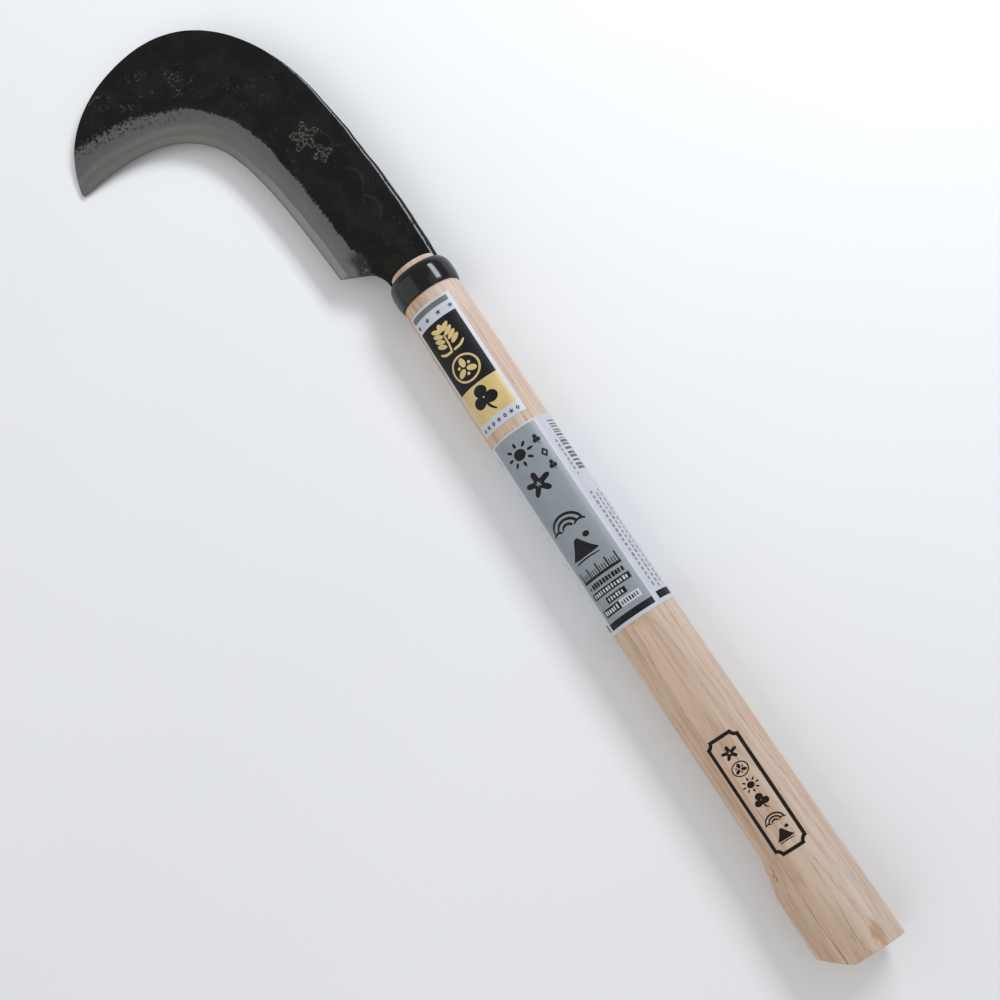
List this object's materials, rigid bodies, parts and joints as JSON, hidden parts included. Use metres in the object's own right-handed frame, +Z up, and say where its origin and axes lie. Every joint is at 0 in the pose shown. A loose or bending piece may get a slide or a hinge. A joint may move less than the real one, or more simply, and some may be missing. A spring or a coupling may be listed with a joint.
{
  "type": "hand sickle",
  "caption": "Heavy hand sickle: a forged hooked blade with a ground bevel, a black steel ring and a long oval wooden handle with a flared butt and plain labels.",
  "frame": {"origin": "centre of the overall box at the surface that the sickle lies on", "axes": "+X along the handle from the butt towards the blade, +Y towards the cutting side, +Z up; the tool lies on its side, rolled 6.4 degrees so that the butt, the ring and the blade's point touch the surface"},
  "size_m": [0.4939, 0.1212, 0.026],
  "materials": {
    "forged_blade": "black forge scale, with a bare ground bevel",
    "hard_edge": "ground satin",
    "oak": "bare, fine sanded",
    "black_ring": "gloss black",
    "pin_steel": "drawn wire",
    "label_paper": "coated, printed",
    "black_ink": "printed on the wood"
  },
  "bodies": {
    "root": {"blade": "forged_blade", "edge_steel": "hard_edge", "handle": "oak", "ferrule": "black_ring", "tang_pin": "pin_steel", "upper_label": "label_paper", "lower_label": "label_paper", "butt_mark": "black_ink"}
  },
  "joints": []
}
